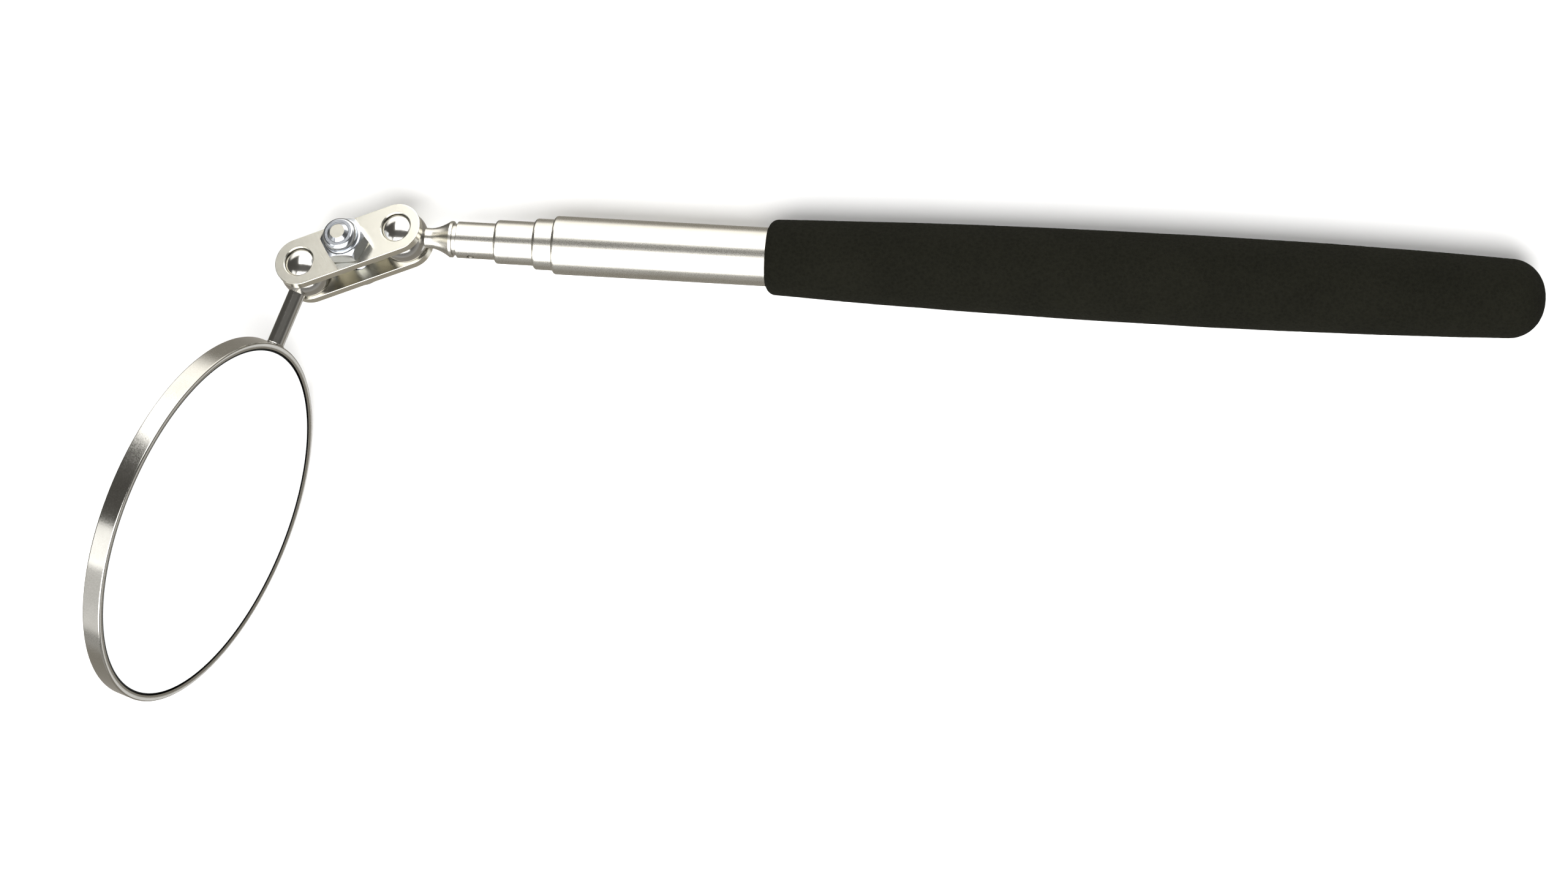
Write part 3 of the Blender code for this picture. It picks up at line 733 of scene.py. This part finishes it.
def hexagon(radius, z, turn):
    """Carries a nut's outer points from their circle to the hexagon and its end chamfers."""
    across = NUT_FLATS / 2
    if radius < NUT_CORNER:
        return radius, z
    side = (turn + math.pi / 6) % (math.pi / 3) - math.pi / 6
    flat = across / math.cos(side)
    reach = (flat - across) / (NUT_CORNER - across)
    drop = NUT_CHAMFER * (0.12 + 0.88 * reach)
    return flat, z - drop if z > NUT_HEX / 2 else z + 0.7 * drop


def lock_nut():
    """Hexagon nut with rounded corners and a turned collar that holds the nylon ring."""
    low = REST_GAP
    across = NUT_FLATS / 2
    roll = 0.8 * MM
    start = 65.0
    drop = roll * math.sin(math.radians(start))
    profile = [(NUT_BORE, NUT_HEIGHT)]
    profile += arc(NUT_COLLAR - roll, NUT_HEIGHT - drop, roll, start, 0, 10)
    profile += arc(NUT_COLLAR + 0.2 * MM, NUT_HEX + 0.2 * MM, 0.2 * MM, 180, 270, 4)
    profile += [(across * 0.97, NUT_HEX), (NUT_CORNER, NUT_HEX), (NUT_CORNER, low)]
    profile += [(across * 0.96, low), (NUT_BORE, low), (NUT_BORE, NUT_HEX + 0.1 * MM)]
    groove = 1.98 * MM
    profile += [(groove, NUT_HEX + 0.15 * MM), (groove, NUT_HEIGHT - 0.4 * MM)]
    profile.append((NUT_BORE, NUT_HEIGHT - 0.35 * MM))
    mesh = turned("lock_nut", profile, 120, shape=hexagon, sharp=24.0)
    place = LINK @ Matrix.Translation((0, 0, PLATE_GAP / 2 + PLATE_THICK))
    place = place @ Matrix.Rotation(math.radians(NUT_TURN), 4, "Z")
    piece("lock_nut_formed", mesh, place, "link", [ZINC], ["lock_nut"])


# ------------------------------------------------------------ mirror head


def mirror_ball():
    """Ball of the mirror side, drilled for the stem, turning between the plates."""
    bore = STEM_RADIUS + REST_GAP
    start = math.degrees(math.asin(bore / BALL_RADIUS))
    depth = 0.9 * MM
    points = [(0.0, BALL_RADIUS)] + arc(0.0, 0.0, BALL_RADIUS, 88, -90 + start, 40)
    points += [(bore, -depth), (0.0, -depth)]
    mesh = turned("mirror_ball_ground", points, ROUND, closed=False)
    piece(mesh.name, mesh, STEM, "swivel_ball", [POLISHED], ["mirror_ball"])


def mirror_stem():
    """Straight rod from the ball to the cup's wall, flared a little where it is brazed on."""
    inner_end = -0.95 * MM
    outer_end = -(MIRROR_REACH - CUP_RADIUS - 0.04 * MM)
    flare = 0.16 * MM
    profile = [(0.0, inner_end)]
    profile += arc(STEM_RADIUS - 0.12 * MM, inner_end - 0.12 * MM, 0.12 * MM, 90, 0, 4)
    for i in range(7):
        t = math.radians(90 * i / 6)
        profile.append((STEM_RADIUS + flare * (1 - math.cos(t)), outer_end + flare * (1 - math.sin(t))))
    profile.append((0.0, outer_end))
    mesh = turned("mirror_stem_turned", profile, ROUND, closed=False)
    piece(mesh.name, mesh, STEM, "mirror_head", [POLISHED], ["mirror_stem"])


def mirror_cup():
    """Pressed cup: flat back, plain wall, and a lip rolled over the edge of the glass."""
    edge = 0.22 * MM
    lip_top = CUP_TOP - LIP_SLOPE
    points = [(LIP_INNER + 0.03 * MM, lip_top)]
    points += arc(CUP_RADIUS - edge, CUP_TOP - edge, edge, 90, 0, 6)
    points += arc(CUP_RADIUS - edge, CUP_BOTTOM + edge, edge, 0, -90, 6)
    points += [(0.0, CUP_BOTTOM), (0.0, CUP_FLOOR), (CUP_INSIDE, CUP_FLOOR)]
    points += [(CUP_INSIDE, REST_GAP), (LIP_INNER, REST_GAP), (LIP_INNER, lip_top - 0.02 * MM)]
    mesh = turned("mirror_cup_pressed", points, LARGE_ROUND)
    piece(mesh.name, mesh, GLASS, "mirror_head", [RIM], ["mirror_cup"])


def mirror_glass():
    """Silvered disc with a ground edge that shows as a thin dark line inside the lip, partly painted shade of the
    gap.
    """
    low = -GLASS_THICK
    face = GLASS_RADIUS - GLASS_GROUND
    profile = [(0.0, 0.0), (face, 0.0), (GLASS_RADIUS, -GLASS_GROUND), (GLASS_RADIUS, low), (0.0, low)]
    mesh = turned("mirror_glass_silvered", profile, LARGE_ROUND, closed=False, slots=[0, 1, 1, 1])
    finish = [SILVER, GROUND_EDGE_AND_SHADE]
    piece(mesh.name, mesh, GLASS, "mirror_head", finish, ["mirror_glass"])


foam_grip()
nested_tubes()
innermost_tube()
ball_stud()
retaining_pin()
link_plate("link_plate_front", 1)
link_plate("link_plate_rear", -1)
clamp_screw()
lock_nut()
mirror_ball()
mirror_stem()
mirror_cup()
mirror_glass()


# -------------------------------------------------- camera, floor and light


def camera():
    data = bpy.data.cameras.new("camera")
    data.lens = CAMERA_LENS
    data.clip_start, data.clip_end = CAMERA_CLIP
    obj = bpy.data.objects.new("camera", data)
    bpy.context.scene.collection.objects.link(obj)
    back = CAMERA_RIGHT.cross(CAMERA_UP)
    turn = Matrix((CAMERA_RIGHT, CAMERA_UP, back)).transposed()
    obj.matrix_world = Matrix.Translation(CAMERA_AT) @ turn.to_4x4()
    bpy.context.scene.camera = obj


def floor():
    shade = Shade("pale_floor")
    cloud = shade.spread(shade.noise(60 * MM, 3.0), 0.0, 1.0)
    shade.color(shade.blend(cloud, (0.865, 0.865, 0.86), (0.88, 0.88, 0.875)))
    shade.roughness(shade.spread(cloud, 0.85, 0.95, 0.0, 1.0))
    shade.set(Specular_IOR_Level=0.1)
    work = bmesh.new()
    bmesh.ops.create_grid(work, x_segments=1, y_segments=1, size=FLOOR_HALF)
    mesh = bpy.data.meshes.new("floor")
    work.to_mesh(mesh)
    work.free()
    mesh.materials.append(shade.material)
    obj = bpy.data.objects.new("floor", mesh)
    bpy.context.scene.collection.objects.link(obj)
    obj.visible_glossy = False


def softbox(name, azimuth, elevation, distance, width, height, radiance):
    """A rectangular light that faces the object. Azimuth runs from +Y towards +X."""
    a, e = math.radians(azimuth), math.radians(elevation)
    way = Vector((math.sin(a) * math.cos(e), math.cos(a) * math.cos(e), math.sin(e)))
    data = bpy.data.lights.new(name, "AREA")
    data.shape = "RECTANGLE"
    data.size = width
    data.size_y = height
    data.energy = radiance * math.pi * width * height
    obj = bpy.data.objects.new(name, data)
    bpy.context.scene.collection.objects.link(obj)
    obj.location = way * distance
    obj.rotation_euler = way.to_track_quat("Z", "Y").to_euler()
    obj.visible_camera = False


def ramp(tree, value, stops):
    """A colour that follows the value through (value, colour) stops."""
    made = tree.nodes.new("ShaderNodeValToRGB")
    tree.links.new(value, made.inputs["Fac"])
    elements = made.color_ramp.elements
    while len(elements) < len(stops):
        elements.new(0.5)
    for element, (position, color) in zip(elements, stops):
        element.position = position
        element.color = (*color, 1.0)
    return made.outputs["Color"]


def between(tree, value, low, high, kind="SMOOTHSTEP"):
    """0 at low and before it, 1 at high and past it, with a soft or a LINEAR rise."""
    made = tree.nodes.new("ShaderNodeMapRange")
    made.interpolation_type = kind
    tree.links.new(value, made.inputs["Value"])
    made.inputs["From Min"].default_value = low
    made.inputs["From Max"].default_value = high
    return made.outputs["Result"]


def product(tree, first, second):
    made = tree.nodes.new("ShaderNodeMath")
    made.operation = "MULTIPLY"
    tree.links.new(first, made.inputs[0])
    tree.links.new(second, made.inputs[1])
    return made.outputs[0]


def mixed(tree, factor, first, second):
    made = tree.nodes.new("ShaderNodeMix")
    made.data_type = "RGBA"
    tree.links.new(factor, made.inputs["Factor"])
    tree.links.new(first, made.inputs["A"])
    made.inputs["B"].default_value = (*second, 1.0)
    return made.outputs["Result"]


def seen_in_glass():
    """The way in which the camera looks on, once it is reflected by the mirror's glass."""
    sight = (GLASS.translation - CAMERA_AT).normalized()
    return sight.reflect(GLASS_NORMAL)


def studio():
    """Four softboxes in a room whose tones the metal and the glass reflect.

    The room darkens above head height. Below the horizon it stands for the table's edge and the
    walls beyond, as the floor doesn't show in reflections: grey behind, dark to the left and
    white in front. A white card stands where the mirror's glass sees it.
    """
    world = bpy.data.worlds.new("studio")
    bpy.context.scene.world = world
    world.use_nodes = True
    tree = world.node_tree
    way = tree.nodes.new("ShaderNodeTexCoord").outputs["Generated"]
    split = tree.nodes.new("ShaderNodeSeparateXYZ")
    tree.links.new(way, split.inputs[0])
    x, y, z = split.outputs
    lit = ramp(tree, between(tree, z, -1.0, 1.0, "LINEAR"), ROOM_TONES)
    dark = product(tree, between(tree, x, *DARK_SPAN_X), between(tree, y, *DARK_SPAN_Y))
    upright = product(tree, between(tree, z, *FRONT_TOP_SPAN), between(tree, z, *FRONT_FOOT_SPAN))
    front = product(tree, between(tree, y, *FRONT_SPAN_Y), upright)
    aim = tree.nodes.new("ShaderNodeVectorMath")
    aim.operation = "DOT_PRODUCT"
    tree.links.new(way, aim.inputs[0])
    aim.inputs[1].default_value = seen_in_glass()
    card = between(tree, aim.outputs["Value"], *CARD_SPAN)
    for zone, tone in ((dark, DARK_TONE), (front, FRONT_TONE), (card, CARD_TONE)):
        lit = mixed(tree, zone, lit, tone)
    tree.links.new(lit, tree.nodes["Background"].inputs["Color"])
    for box in SOFTBOXES:
        softbox(*box)
    bpy.context.scene.view_settings.view_transform = "Standard"


camera()
floor()
studio()
